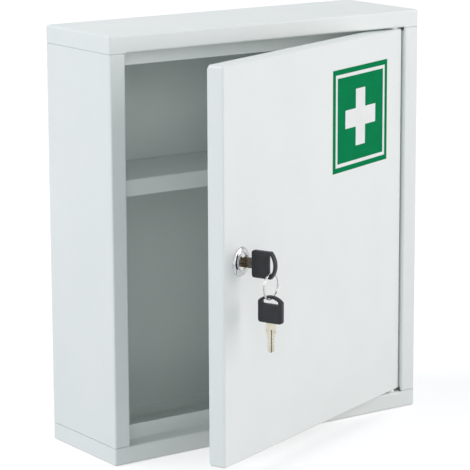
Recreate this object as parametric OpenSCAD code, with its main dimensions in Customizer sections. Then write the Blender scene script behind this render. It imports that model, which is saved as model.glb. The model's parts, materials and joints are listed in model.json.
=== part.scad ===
// Lockable medicine cabinet: a folded sheet-steel wall cabinet with one inset
// door on two pins, one shelf, a wafer cam lock, and two keys on a split ring.
// Millimetres. +Z up, the front faces -Y. The origin is the middle of the four
// wall holes, on the back plane. The door is built shut, then swung ajar.

/* [Cabinet] */
// Width across the sides
cabinet_width = 320; // [240:1:500]
// Height over the two caps
cabinet_height = 360; // [280:1:600]
// Depth from the wall to the front frame
cabinet_depth = 100; // [80:1:200]
// Thickness of the steel sheet
sheet = 1.0; // [0.8:0.1:1.2]
// Outer radius of every fold
fold_radius = 1.8; // [1.4:0.1:3]
// Width of the two front stiles
stile_width = 15; // [13:0.5:30]
// Height of the front rails and of the cap flanges that run round with them
rail_height = 15; // [12:0.5:30]
// Depth of the returns folded back from the stiles
return_depth = 14; // [8:0.5:14.5]

/* [Door stop ledge] */
// Depth of the ledge from the front to the stop flange
stop_depth = 18; // [17.5:0.5:26]
// Height of the stop flange past the ledge
stop_height = 12.5; // [6:0.5:20]
// Gap between the end of a ledge and the stile return
ledge_end_gap = 1; // [0.5:0.5:3]
// Height cut off the stile returns so that the folds clear the ledges
return_relief = 3; // [2:0.5:6]

/* [Lap joints] */
// Gap in the seam between the wrap and a cap
seam_gap = 0.3; // [0.1:0.1:1]
// Height over which the wall steps inward under the cap flange
joggle_run = 0.6; // [0.4:0.1:1.5]
// Reach of the lap tabs inside the cap flanges
lap_reach = 9; // [5:0.5:10]
// Distance of the lap tabs from the corner folds
lap_margin = 8; // [5:0.5:20]

/* [Wall holes] */
// Distance between the holes across the cabinet
wall_hole_spacing_x = 200; // [120:1:280]
// Distance between the holes up the cabinet
wall_hole_spacing_z = 260; // [160:1:300]
// Diameter of the wall holes
wall_hole_diameter = 6.5; // [4:0.5:9]

/* [Shelf] */
// Height of the shelf top above the middle of the cabinet
shelf_height = 56.5; // [20:0.5:120]
// Depth of the shelf lips
shelf_lip = 14; // [8:0.5:25]
// Distance of the shelf front behind the front frame
shelf_setback = 20.5; // [20:0.5:50]
// Side of the notch left open at the shelf corners
shelf_notch = 3; // [2:0.5:6]

/* [Door] */
// Depth of the door pan
door_depth = 15; // [10:0.5:15]
// Gap beside the door at its hinges
door_gap_hinge = 2.0; // [1.6:0.1:3]
// Gap beside the free edge
door_gap_free = 1.5; // [1:0.1:3]
// Gap over the door
door_gap_top = 1.2; // [1:0.1:3]
// Gap under the door
door_gap_bottom = 2.4; // [1.5:0.1:4]
// Length of the cut at the back corners of the door flanges
door_chamfer = 2.8; // [1.5:0.1:4]
// Depth of that cut, towards the door face
door_chamfer_depth = 1.8; // [1:0.1:3]
// Angle the door stands open
door_angle = 22; // [0:1:100]

/* [Hinges] */
// Distance of the hinge pins from the hinge edge of the door
pin_inset = 7.5; // [5.5:0.5:7.5]
// Distance of the hinge pins behind the door face
pin_setback = 5; // [5:0.5:6]
// Diameter of the hinge pins
pin_diameter = 4; // [3:0.5:5]
// Reach of a hinge pin past the door edge
pin_reach = 5; // [3.5:0.5:8]
// Diameter of the riveted pin head
pin_head_diameter = 6; // [5.5:0.5:7]
// Thickness of the riveted pin head
pin_head_thickness = 1.5; // [1:0.1:3]
// Radial running clearance of a pin in its bush
pin_clearance = 0.05; // [0.02:0.01:0.1]
// Outer diameter of the bush barrel
bush_diameter = 6; // [5.6:0.1:7]
// Diameter of the bush flange
bush_flange_diameter = 8; // [7:0.5:9]
// Height of the bush snap rim past the ledge
bush_rim_height = 2.4; // [1.5:0.1:3.5]
// Overhang of the bush snap rim over the ledge
bush_rim_overhang = 0.4; // [0.2:0.1:0.6]
// Axial clearance between the door and the lower bush, which carries it
lower_bush_play = 0.1; // [0.05:0.05:0.3]
// Axial clearance between the door and the upper bush
upper_bush_play = 0.3; // [0.1:0.05:0.5]

/* [Sign] */
// Width of the sign film
label_width = 92; // [50:1:120]
// Height of the sign film
label_height = 88; // [50:1:120]
// Thickness of the sign film
label_thickness = 0.2; // [0.1:0.05:0.5]
// Distance of the middle of the film from the hinge edge of the door
label_inset = 72.5; // [62:0.5:110]
// Height of the middle of the film above the middle of the cabinet
label_rise = 96; // [40:1:110]

/* [Lock housing] */
// Distance of the lock axis from the free edge of the door
lock_inset = 24.5; // [18:0.5:32]
// Height of the lock axis above the middle of the cabinet
lock_rise = 4.2; // [-20:0.1:20]
// Diameter of the rosette
rosette_diameter = 24; // [22:0.5:28]
// Diameter of the rosette's raised boss
boss_diameter = 16; // [15.8:0.1:18]
// Height of the rosette rim
rosette_rim = 0.8; // [0.5:0.1:1.2]
// Height of the cone where it meets the boss
rosette_cone = 2.0; // [1.5:0.1:2.4]
// Height of the boss above the door
boss_height = 3.1; // [2.8:0.1:3.5]
// Diameter of the lock barrel
barrel_diameter = 18; // [17.6:0.1:19]
// Width over the two flats of the barrel
barrel_flats = 16.6; // [16.4:0.1:17]
// Length of the barrel behind the door face
barrel_length = 15.2; // [14.4:0.1:15.3]
// Clearance round the barrel in the door hole
barrel_clearance = 0.1; // [0.05:0.05:0.3]
// Width over the flats of the lock nut
nut_flats = 22; // [21:0.5:24]
// Thickness of the lock nut
nut_thickness = 3.2; // [2:0.1:4]

/* [Lock plug] */
// Diameter of the plug
plug_diameter = 12; // [11.6:0.1:12.2]
// Radial running clearance of the plug in the housing
plug_clearance = 0.05; // [0.02:0.01:0.1]
// Diameter of the plug's front head
plug_head_diameter = 14; // [13.4:0.1:14.2]
// Thickness of the plug's front head
plug_head_thickness = 1.0; // [0.8:0.1:1.5]
// Distance of the plug face in from the boss face
plug_face_recess = 1.6; // [1:0.1:1.7]
// Width of the keyway
keyway_width = 2.4; // [2.3:0.1:2.8]
// Height of the keyway
keyway_height = 6.2; // [6:0.1:6.6]
// Depth of the keyway behind the door face
keyway_depth = 13.9; // [13.6:0.1:14.1]
// Side of the square that drives the cam
cam_square = 7.1; // [6.5:0.1:8]
// Width of the stop lug on the plug
lug_width = 1.6; // [1.2:0.1:2]
// Length of the stop lug along the plug
lug_length = 1.9; // [1.2:0.1:2]
// Reach of the stop lug from the plug axis
lug_reach = 7.3; // [6.8:0.1:7.4]
// Clearance of the stop lug in its quarter-turn recess
lug_clearance = 0.3; // [0.15:0.05:0.3]

/* [Wafers] */
// Number of wafers
wafer_count = 5; // [3:1:5]
// Distance of the first wafer behind the door face
wafer_start = 1.0; // [0.9:0.1:1.4]
// Distance from one wafer to the next
wafer_pitch = 2.4; // [2:0.1:2.6]
// Thickness of a wafer
wafer_thickness = 1.0; // [0.7:0.1:1.2]
// Width of a wafer
wafer_width = 6.2; // [5.6:0.1:6.4]
// Clearance of a wafer in its slot on each side
wafer_clearance = 0.1; // [0.05:0.05:0.15]
// Clearance of the key in the wafer window on each side
window_clearance = 0.3; // [0.2:0.1:0.5]
// Reach of the wafer's spring lug past its side
wafer_lug = 1.2; // [1:0.1:1.3]
// Depth of the two locking grooves in the housing
groove_depth = 1.0; // [0.6:0.1:1.1]
// Diameter of a wafer spring
spring_diameter = 1.1; // [0.9:0.05:1.2]
// Length of a wafer spring
spring_length = 4; // [3:0.1:4.2]
// Number of coils in a wafer spring
spring_coils = 8; // [6:1:10]

/* [Cam] */
// Distance of the cam behind the door face
cam_depth = 15.7; // [15.6:0.1:17]
// Thickness of the cam
cam_thickness = 2; // [1.5:0.1:3]
// Reach of the cam from the lock axis
cam_reach = 34; // [30:0.5:38]
// Diameter of the cam's round end
cam_head_diameter = 17; // [15:0.5:18]
// Width of the cam's tongue
cam_tongue = 13; // [9:0.5:14]
// Clearance of the cam on its square
cam_clearance = 0.05; // [0.03:0.01:0.1]
// Diameter of the washer under the cam screw
cam_washer_diameter = 12; // [11:0.5:14]
// Thickness of the washer under the cam screw
cam_washer_thickness = 0.8; // [0.5:0.1:1.5]
// Diameter of the cam screw
cam_screw_diameter = 4; // [3:0.5:5]
// Diameter of the cam screw head
cam_screw_head = 8; // [6:0.5:9]
// Length of the cam screw inside the plug
cam_screw_length = 1.4; // [1:0.1:1.6]

/* [Keys] */
// Length of a key head
head_length = 22.3; // [20:0.1:26]
// Width of a key head
head_width = 22.3; // [20:0.1:24]
// Thickness of a key head
head_thickness = 4.8; // [4:0.1:6]
// Rise of the arched outer end of the head
head_arch = 4.6; // [3:0.1:6]
// Radius of the head's inner corners
head_corner = 2.4; // [1:0.1:4]
// Width of the step round the edge of the head
head_step = 0.6; // [0.3:0.1:1]
// Wall of the head outside its slot
slot_wall = 2.1; // [1.8:0.1:3.5]
// Width of the head slot at its middle
slot_width = 4.7; // [4.5:0.1:6]
// Length of the head slot
slot_length = 15.4; // [13:0.1:16]
// Thickness of a key blade
blade_thickness = 2.0; // [1.8:0.1:2.1]
// Width of a key blade
blade_width = 5.6; // [5:0.1:5.8]
// Length of the cut part of a key blade
blade_length = 15; // [14:0.1:15.4]
// Width of the key's neck
neck_width = 8.4; // [7:0.1:9]
// Length of the key's neck
neck_length = 9.4; // [6:0.1:12]
// Slanted corner of the neck, on the outer side
neck_bevel = 1.4; // [0.5:0.1:1.4]
// Gap between the key's shoulder and the plug face
shoulder_gap = 0.3; // [0.3:0.1:1]
// Length of the tang inside the head
tang_length = 10; // [6:0.1:12]
// Depth of the shallowest cut in the blade
bit_depth = 0.35; // [0.2:0.05:0.5]
// Added depth of each further step in the cuts
bit_step = 0.25; // [0.1:0.05:0.3]
// Width of the groove along the blade
blade_groove = 1.1; // [0.8:0.1:1.2]
// Depth of the groove along the blade
blade_groove_depth = 0.6; // [0.2:0.05:0.7]
// Distance of the groove from the middle of the blade
blade_groove_offset = 1.2; // [0.7:0.1:1.2]
// Distance from the head to the start of the groove
blade_groove_start = 5.5; // [2:0.5:8]

/* [Ring] */
// Outer diameter of the split ring
ring_diameter = 22; // [20:0.5:24]
// Diameter of the ring wire
ring_wire = 1.0; // [0.8:0.1:1.2]
// Distance between the two turns of wire
ring_turn_pitch = 0.94; // [0.8:0.02:0.96]
// Gap between the ring and the end of the slot that it hangs in
ring_slot_gap = 0.3; // [0.3:0.1:0.6]
// Gap between the ends of a turn
ring_split = 0.5; // [0.3:0.1:1]

/* [Hidden] */
$fn = 96;

half_w = cabinet_width / 2;
half_h = cabinet_height / 2;
inner_radius = fold_radius - sheet;
open_half_w = half_w - stile_width;
open_half_h = half_h - rail_height;
wrap_half_h = open_half_h - seam_gap;
front_y = -cabinet_depth;
ledge_half = open_half_w - ledge_end_gap;

door_left = -open_half_w + door_gap_free;
door_right = open_half_w - door_gap_hinge;
door_top = open_half_h - door_gap_top;
door_bottom = -open_half_h + door_gap_bottom;
door_width = door_right - door_left;
door_height = door_top - door_bottom;
pin_x = door_right - pin_inset;
pin_y = front_y + pin_setback;

lock_x = door_left + lock_inset;
plug_face = boss_height - plug_face_recess;
plug_radius = plug_diameter / 2;
bore_radius = plug_radius + plug_clearance;
lug_pocket = lug_reach + lug_clearance;
wafer_slot = wafer_thickness + 2 * wafer_clearance;
pocket_x = wafer_width / 2 + wafer_lug + wafer_clearance;
spring_x = wafer_width / 2 + wafer_clearance + spring_diameter / 2;
spring_base = -2.4;
lug_base = spring_base + spring_length;

key_z = plug_face + shoulder_gap + neck_length;
arch_radius = (pow(head_width / 2, 2) + pow(head_arch, 2)) / (2 * head_arch);
arch_x = head_length - arch_radius;
slot_outer = head_length - slot_wall;
slot_inner = slot_outer - slot_width;
ring_radius = (ring_diameter - ring_wire) / 2;
ring_sag = ring_radius - sqrt(pow(ring_radius, 2) - pow(head_thickness / 2, 2));
ring_reach = ring_wire / 2 + ring_sag;
ring_hang = slot_length / 2 - ring_slot_gap - ring_reach;
ring_hang_x = slot_inner + (arch_x
    + sqrt(pow(arch_radius - slot_wall, 2) - pow(ring_hang, 2)) - slot_inner) / 2;
ring_z = key_z + ring_hang_x;
ring_drop = ring_hang + ring_radius;
spare_hang = ring_drop + ring_radius;
spare_hook = slot_outer - ring_slot_gap - ring_reach;

/* ---------- helpers ---------- */

// Quarter of a folded sheet, in quadrant q counted from +X+Y.
module fold(q) {
  intersection() {
    difference() {
      circle(fold_radius);
      circle(inner_radius);
    }
    rotate(90 * q) square(fold_radius + 1);
  }
}

// Rectangle with round corners, centred.
module round_rect(w, h, r) {
  square([w - 2 * r, h], center = true);
  square([w, h - 2 * r], center = true);
  for (sx = [-1, 1], sy = [-1, 1])
    translate([sx * (w / 2 - r), sy * (h / 2 - r)]) circle(r);
}

// Block with round upright edges and a round upper edge, flat below.
module soft_block(w, d, h, r) {
  linear_extrude(h - r) round_rect(w, d, r);
  translate([-w / 2 + r, -d / 2 + r, 0]) cube([w - 2 * r, d - 2 * r, h]);
  for (s = [-1, 1]) {
    translate([-w / 2 + r, s * (d / 2 - r), h - r])
      rotate([0, 90, 0]) cylinder(r = r, h = w - 2 * r);
    translate([s * (w / 2 - r), d / 2 - r, h - r])
      rotate([90, 0, 0]) cylinder(r = r, h = d - 2 * r);
    for (t = [-1, 1])
      translate([s * (w / 2 - r), t * (d / 2 - r), h - r]) sphere(r);
  }
}

// Folded pan of sheet, open below, with its outside at height h.
module pan(w, d, h) {
  difference() {
    soft_block(w, d, h, fold_radius);
    translate([0, 0, -1])
      soft_block(w - 2 * sheet, d - 2 * sheet, h - sheet + 1, inner_radius);
  }
}

// Puts a flat profile of (depth, height) across the cabinet, width w.
module across(w) {
  translate([-w / 2, front_y, 0]) rotate([90, 0, 90]) linear_extrude(w) children();
}

// Swings what is drawn for the shut door to where the door stands.
module on_door() {
  translate([pin_x, pin_y, 0]) rotate([0, 0, door_angle])
    translate([-pin_x, -pin_y, 0]) children();
}

// Lock frame: +X right, +Y up, +Z out of the door face.
module at_lock() {
  on_door() translate([lock_x, front_y, lock_rise]) rotate([90, 0, 0]) children();
}

/* ---------- cabinet ---------- */

// Plan of the wrapped sheet: back, sides, stiles and returns.
module wrap_plan() {
  difference() {
    translate([0, -cabinet_depth / 2])
      round_rect(cabinet_width, cabinet_depth, fold_radius);
    translate([0, -cabinet_depth / 2])
      round_rect(cabinet_width - 2 * sheet, cabinet_depth - 2 * sheet, inner_radius);
    translate([-open_half_w - fold_radius, front_y - 1])
      square([2 * (open_half_w + fold_radius), sheet + 2]);
  }
  for (m = [0, 1]) mirror([m, 0]) {
    translate([-open_half_w - fold_radius, front_y + fold_radius]) fold(3);
    translate([-open_half_w - sheet, front_y + fold_radius])
      square([sheet, return_depth - fold_radius]);
  }
}

// Step of the wall under a cap flange: x is the depth below the outer face.
module joggle() {
  z1 = open_half_h - joggle_run;
  polygon([[0, z1 - 4], [0, z1], [sheet, open_half_h], [sheet, open_half_h + lap_reach],
           [2 * sheet, open_half_h + lap_reach], [2 * sheet, open_half_h - joggle_run / 2],
           [sheet, z1 - joggle_run / 2], [sheet, z1 - 4]]);
}

module side_and_back_wrap() {
  z1 = open_half_h - joggle_run;
  side_lap = cabinet_depth - 2 * lap_margin;
  back_lap = cabinet_width - 4 * lap_margin;
  stile_lap = stile_width - 2 * fold_radius - 2;
  color("#e9eaea") difference() {
    union() {
      difference() {
        translate([0, 0, -wrap_half_h]) linear_extrude(2 * wrap_half_h) wrap_plan();
        for (m = [0, 1]) mirror([0, 0, m]) {
          for (n = [0, 1]) mirror([n, 0, 0]) {
            translate([-half_w - 1, -cabinet_depth + lap_margin, z1 - 2])
              cube([sheet + 2, side_lap, 10]);
            translate([-half_w + fold_radius + 1, front_y - 1, z1 - 2])
              cube([stile_lap, sheet + 1.5, 10]);
            translate([-open_half_w - sheet - 1, front_y + fold_radius,
                       wrap_half_h - return_relief])
              cube([sheet + 2, return_depth, 10]);
          }
          translate([-back_lap / 2, -sheet - 1, z1 - 2]) cube([back_lap, sheet + 2, 10]);
        }
      }
      for (m = [0, 1]) mirror([0, 0, m]) {
        for (n = [0, 1]) mirror([n, 0, 0]) {
          translate([-half_w, -lap_margin, 0])
            rotate([90, 0, 0]) linear_extrude(side_lap) joggle();
          translate([-half_w + fold_radius + 1, front_y, 0])
            rotate([90, 0, 90]) linear_extrude(stile_lap) joggle();
        }
        mirror([0, 1, 0]) translate([-back_lap / 2, 0, 0])
          rotate([90, 0, 90]) linear_extrude(back_lap) joggle();
      }
    }
    for (sx = [-1, 1], sz = [-1, 1])
      translate([sx * wall_hole_spacing_x / 2, 1, sz * wall_hole_spacing_z / 2])
        rotate([90, 0, 0]) cylinder(d = wall_hole_diameter, h = sheet + 2);
  }
}

// Rail fold, ledge, and the door's stop flange.
module ledge_profile() {
  translate([0, open_half_h + fold_radius])
    square([sheet, rail_height - 2 * fold_radius]);
  translate([fold_radius, open_half_h + fold_radius]) fold(2);
  translate([fold_radius, open_half_h])
    square([stop_depth - inner_radius - fold_radius, sheet]);
  translate([stop_depth - inner_radius, open_half_h - inner_radius]) fold(0);
  translate([stop_depth, open_half_h - stop_height])
    square([sheet, stop_height - inner_radius]);
}

// The upper cap; the lower one is its mirror image.
module cap() {
  difference() {
    union() {
      difference() {
        translate([0, -cabinet_depth / 2, open_half_h])
          pan(cabinet_width, cabinet_depth, rail_height);
        translate([-ledge_half, front_y - 1, open_half_h - 1])
          cube([2 * ledge_half, sheet + 1.5, fold_radius + 3]);
      }
      across(2 * ledge_half) ledge_profile();
    }
    translate([pin_x, pin_y, open_half_h - 1])
      cylinder(d = bush_diameter, h = sheet + 2);
  }
}

module top_cap() { color("#eceded") cap(); }

module bottom_cap() { color("#e6e8e8") mirror([0, 0, 1]) cap(); }

module shelf() {
  depth = cabinet_depth - shelf_setback - sheet;
  width = cabinet_width - 2 * sheet;
  color("#c9d3d0") translate([0, -sheet - depth / 2, shelf_height - shelf_lip])
    difference() {
      pan(width, depth, shelf_lip);
      for (sx = [-1, 1], sy = [-1, 1])
        translate([sx * width / 2, sy * depth / 2, (shelf_lip - fold_radius) / 2 - 1])
          cube([2 * shelf_notch, 2 * shelf_notch, shelf_lip - fold_radius + 2],
               center = true);
    }
}

// Flanged bush under the upper ledge, with a snap rim over it.
module bush(flange) {
  bore = pin_diameter / 2 + pin_clearance;
  rim = bush_diameter / 2 + bush_rim_overhang;
  translate([pin_x, pin_y, open_half_h]) rotate_extrude()
    polygon([[bore, -flange], [bush_flange_diameter / 2, -flange],
             [bush_flange_diameter / 2, 0], [bush_diameter / 2, 0],
             [bush_diameter / 2, sheet], [rim, sheet],
             [bush_diameter / 2 - 0.2, sheet + bush_rim_height],
             [bore, sheet + bush_rim_height]]);
}

module upper_hinge_bush() { color("#f2f2ee") bush(door_gap_top - upper_bush_play); }

module lower_hinge_bush() {
  color("#f2f2ee") mirror([0, 0, 1]) bush(door_gap_bottom - lower_bush_play);
}

/* ---------- door ---------- */

module door_panel() {
  w = door_width;
  h = door_height;
  c = door_chamfer / sqrt(2);
  slope = c / door_chamfer_depth;
  color("#e6eaea") difference() {
    on_door() difference() {
      translate([(door_left + door_right) / 2, front_y + door_depth,
                 (door_top + door_bottom) / 2])
        rotate([90, 0, 0]) difference() {
          pan(w, h, door_depth);
          for (sx = [0, 1], sy = [0, 1]) mirror([sx, 0, 0]) mirror([0, sy, 0])
            translate([w / 2, h / 2, 0]) rotate([0, 0, -45]) rotate([90, 0, 90])
              translate([0, 0, -2 * door_chamfer]) linear_extrude(4 * door_chamfer)
                polygon([[-c - slope, -1], [slope, door_chamfer_depth + 1],
                         [3, door_chamfer_depth + 1], [3, -1]]);
        }
      for (z = [door_top - 3, door_bottom - 3])
        translate([pin_x, pin_y, z]) cylinder(d = pin_diameter, h = 6);
    }
    at_lock() translate([0, 0, -sheet - 1]) linear_extrude(sheet + 2)
      barrel_plan(barrel_clearance);
  }
}

// Round with two flats, which stop the barrel from turning.
module barrel_plan(extra) {
  intersection() {
    circle(barrel_diameter / 2 + extra);
    square([barrel_flats + 2 * extra, barrel_diameter + 4], center = true);
  }
}

module first_aid_label() {
  color("#0a8450") on_door()
    translate([door_right - label_inset - label_width / 2, front_y - label_thickness,
               label_rise - label_height / 2])
      cube([label_width, label_thickness, label_height]);
}

// Riveted pin that stands up from a door flange at height 0.
module hinge_pin() {
  translate([0, 0, -sheet - pin_head_thickness])
    cylinder(d = pin_head_diameter, h = pin_head_thickness);
  translate([0, 0, -sheet - 0.5])
    cylinder(d = pin_diameter, h = pin_reach + sheet + 0.1);
  translate([0, 0, pin_reach - 0.4])
    cylinder(d1 = pin_diameter, d2 = pin_diameter - 1, h = 0.4);
}

module upper_hinge_pin() {
  color("#a9abad") on_door() translate([pin_x, pin_y, door_top]) hinge_pin();
}

module lower_hinge_pin() {
  color("#a9abad") on_door() translate([pin_x, pin_y, door_bottom])
    mirror([0, 0, 1]) hinge_pin();
}

module lock_housing() {
  head_r = plug_head_diameter / 2;
  counterbore = plug_face - plug_head_thickness - plug_clearance;
  groove = wafer_width / 2 + wafer_clearance + 0.2;
  color("#d4d6d8") at_lock() difference() {
    union() {
      translate([0, 0, -barrel_length]) linear_extrude(barrel_length + 0.5)
        barrel_plan(0);
      rotate_extrude() polygon([[0, 0], [rosette_diameter / 2, 0],
        [rosette_diameter / 2, rosette_rim - 0.2],
        [rosette_diameter / 2 - 0.2, rosette_rim],
        [boss_diameter / 2 + 0.3, rosette_cone], [boss_diameter / 2, rosette_cone],
        [boss_diameter / 2, boss_height - 0.2],
        [boss_diameter / 2 - 0.2, boss_height], [0, boss_height]]);
    }
    translate([0, 0, -barrel_length - 1])
      cylinder(r = bore_radius, h = barrel_length + boss_height + 2);
    translate([0, 0, counterbore])
      cylinder(r = head_r + plug_clearance, h = boss_height);
    // grooves that the wafers spring into when the key is out
    intersection() {
      translate([0, 0, -barrel_length - 1])
        cylinder(r = bore_radius + groove_depth, h = barrel_length + 0.4);
      translate([-groove, -barrel_diameter, -barrel_length - 1])
        cube([2 * groove, 2 * barrel_diameter, barrel_length + 0.4]);
    }
    // quarter-turn recess for the plug's stop lug
    intersection() {
      translate([0, 0, -barrel_length - 1])
        cylinder(r = lug_pocket, h = 1 + lug_length + lug_clearance);
      translate([-lug_width / 2 - lug_clearance, -lug_width / 2 - lug_clearance,
                 -barrel_length - 1])
        cube([2 * lug_reach, 2 * lug_reach, 1 + lug_length + lug_clearance]);
    }
  }
}

module lock_nut() {
  color("#c2c4c6") at_lock() translate([0, 0, -sheet - nut_thickness])
    difference() {
      intersection() {
        linear_extrude(nut_thickness) intersection_for(a = [0, 60, 120])
          rotate(a) square([nut_flats, 2 * nut_flats], center = true);
        translate([0, 0, -1]) cylinder(r1 = nut_flats * 0.57 - 1.5,
          r2 = nut_flats * 0.57 + nut_thickness + 0.5, h = nut_thickness + 2);
      }
      translate([0, 0, -1]) cylinder(d = barrel_diameter, h = nut_thickness + 2);
    }
}

/* ---------- lock core ---------- */

module lock_plug() {
  color("#cfd0d1") at_lock() difference() {
    union() {
      translate([0, 0, -cam_depth]) cylinder(r = plug_radius, h = cam_depth + plug_face);
      translate([0, 0, plug_face - plug_head_thickness])
        cylinder(d = plug_head_diameter, h = plug_head_thickness);
      translate([-cam_square / 2, -cam_square / 2, -cam_depth - cam_thickness + 0.2])
        cube([cam_square, cam_square, cam_thickness]);
      translate([-lug_width / 2, 0, -barrel_length])
        cube([lug_width, lug_reach, lug_length]);
    }
    translate([-keyway_width / 2, -keyway_height / 2, -keyway_depth])
      cube([keyway_width, keyway_height, keyway_depth + plug_face + 1]);
    for (i = [0 : wafer_count - 1])
      translate([0, 0, -wafer_start - i * wafer_pitch - wafer_thickness - wafer_clearance]) {
        translate([-wafer_width / 2 - wafer_clearance, -plug_radius - 1, 0])
          cube([wafer_width + 2 * wafer_clearance, plug_diameter + 2, wafer_slot]);
        translate([0, spring_base, 0])
          cube([pocket_x, lug_base - spring_base + 1.6, wafer_slot]);
      }
    translate([0, 0, -cam_depth - cam_thickness - 1])
      cylinder(d = cam_screw_diameter, h = 1 + cam_thickness + cam_screw_length);
  }
}

// Flat wafer with a window that clears the whole blade.
module wafer() {
  linear_extrude(wafer_thickness) difference() {
    union() {
      intersection() {
        circle(plug_radius - 0.1);
        square([wafer_width, plug_diameter], center = true);
      }
      translate([0, lug_base]) square([wafer_width / 2 + wafer_lug, 1.1]);
    }
    square([blade_thickness + 2 * window_clearance, blade_width + 2 * window_clearance],
           center = true);
  }
}

module tumbler_wafers() {
  color("#b98f45") at_lock() for (i = [0 : wafer_count - 1])
    translate([0, 0, -wafer_start - i * wafer_pitch - wafer_thickness]) wafer();
}

module wafer_springs() {
  wire = spring_length / spring_coils * 0.54;
  color("#9b9d9f") at_lock() for (i = [0 : wafer_count - 1])
    translate([spring_x, spring_base,
               -wafer_start - i * wafer_pitch - wafer_thickness / 2])
      rotate([-90, 0, 0]) rotate_extrude() intersection() {
        for (k = [0 : spring_coils - 1])
          translate([spring_diameter / 2 - wire,
                     (k + 0.5) * spring_length / spring_coils]) circle(wire);
        square([spring_diameter, spring_length]);
      }
}

module lock_cam() {
  hole = cam_square + 2 * cam_clearance;
  color("#b9bcbe") at_lock() translate([0, 0, -cam_depth - cam_thickness])
    linear_extrude(cam_thickness) difference() {
      union() {
        circle(d = cam_head_diameter);
        translate([-cam_tongue / 2, -cam_reach + 3])
          square([cam_tongue, cam_reach - 3]);
        translate([-cam_tongue / 2 + 3, -cam_reach])
          square([cam_tongue - 6, 4]);
        for (s = [-1, 1])
          translate([s * (cam_tongue / 2 - 3), -cam_reach + 3]) circle(3);
      }
      square([hole, hole], center = true);
    }
}

module cam_washer() {
  color("#b4b6b8") at_lock()
    translate([0, 0, -cam_depth - cam_thickness - cam_washer_thickness]) difference() {
      cylinder(d = cam_washer_diameter, h = cam_washer_thickness);
      translate([0, 0, -1])
        cylinder(d = cam_screw_diameter, h = cam_washer_thickness + 2);
    }
}

module cam_screw() {
  z = -cam_depth - cam_thickness - cam_washer_thickness;
  color("#a5a7a9") at_lock() difference() {
    union() {
      translate([0, 0, z])
        cylinder(d = cam_screw_diameter, h = -cam_depth + cam_screw_length - z);
      translate([0, 0, z - 2]) cylinder(d = cam_screw_head, h = 2);
      translate([0, 0, z - 2.6])
        cylinder(d1 = cam_screw_head - 1.6, d2 = cam_screw_head, h = 0.6);
    }
    for (a = [0, 90]) rotate([0, 0, a])
      translate([-2.2, -0.45, z - 3]) cube([4.4, 0.9, 2]);
  }
}

/* ---------- keys, drawn along +X with the head from 0 ---------- */

// Cut depth of wafer position i, from a repeating code.
function cut(i) = bit_depth + bit_step * ((i * 2) % 3);

module blade() {
  tip = -neck_length - blade_length;
  translate([0, 0, -blade_thickness / 2]) difference() {
    linear_extrude(blade_thickness) difference() {
      union() {
        polygon([[0, -neck_width / 2], [0, neck_width / 2],
                 [neck_bevel - neck_length, neck_width / 2],
                 [-neck_length, neck_width / 2 - neck_bevel],
                 [-neck_length, -neck_width / 2]]);
        translate([-1, -neck_width / 2 + 0.7])
          square([tang_length + 1, neck_width - 1.4]);
        polygon([[-neck_length + 1, -blade_width / 2], [-neck_length + 1, blade_width / 2],
                 [tip + 1.5, blade_width / 2], [tip, 0.8], [tip, -0.8],
                 [tip + 1.5, -blade_width / 2]]);
      }
      for (i = [0 : wafer_count - 1], s = [-1, 1])
        translate([-key_z - wafer_start - wafer_thickness / 2 - i * wafer_pitch,
                   s * blade_width / 2])
          polygon([[-0.35, -cut(i + s + 1) * s], [0.35, -cut(i + s + 1) * s],
                   [0.35 + cut(i + s + 1), 0.01 * s], [0.35 + cut(i + s + 1), s],
                   [-0.35 - cut(i + s + 1), s], [-0.35 - cut(i + s + 1), 0.01 * s]]);
    }
    for (m = [0, 1]) mirror([0, 0, m])
      translate([tip - 1, (2 * m - 1) * blade_groove_offset - blade_groove / 2,
                 blade_thickness * (1 - m) - blade_groove_depth])
        cube([blade_length + neck_length - blade_groove_start + 1, blade_groove, 1]);
  }
}

// Outline of the head, pulled in by d all round.
module head_plan(d) {
  intersection() {
    translate([head_length / 2, 0])
      round_rect(head_length - 2 * d, head_width - 2 * d, head_corner);
    translate([arch_x, 0]) circle(arch_radius - d);
  }
}

// D-shaped slot, straight on the inside and arched on the outside.
module slot_plan() {
  intersection() {
    translate([slot_inner, -slot_length / 2]) square([slot_width + 1, slot_length]);
    translate([arch_x, 0]) circle(arch_radius - slot_wall);
  }
}

module head() {
  difference() {
    union() {
      translate([0, 0, -head_thickness / 2 + head_step])
        linear_extrude(head_thickness - 2 * head_step) head_plan(0);
      translate([0, 0, -head_thickness / 2])
        linear_extrude(head_thickness) head_plan(head_step);
    }
    translate([0, 0, -head_thickness]) linear_extrude(2 * head_thickness) slot_plan();
    translate([-1, -neck_width / 2 + 0.7, -blade_thickness / 2])
      cube([tang_length + 1, neck_width - 1.4, blade_thickness]);
  }
}

// The key in the lock: along the lock axis, its flat upright.
module in_keyway() {
  at_lock() translate([0, 0, key_z]) rotate([0, -90, 0]) children();
}

// The spare key: hangs from the ring, its head up.
module on_ring() {
  at_lock() translate([0, -spare_hang - spare_hook, ring_z])
    rotate([90, 0, 90]) children();
}

module key_blade() { color("#c9c3ad") in_keyway() blade(); }

module key_head() { color("#2f3234") in_keyway() head(); }

module spare_key_blade() { color("#c9c3ad") on_ring() blade(); }

module spare_key_head() { color("#2f3234") on_ring() head(); }

module key_ring() {
  color("#b9babb") at_lock() translate([0, -ring_drop, ring_z]) difference() {
    rotate_extrude() for (s = [-1, 1])
      translate([ring_radius, s * ring_turn_pitch / 2]) circle(d = ring_wire);
    rotate([0, 0, 20]) translate([0, -ring_split / 2, 0.05])
      cube([ring_diameter, ring_split, ring_wire]);
    rotate([0, 0, -25]) translate([0, -ring_split / 2, -ring_wire - 0.05])
      cube([ring_diameter, ring_split, ring_wire]);
  }
}

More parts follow.
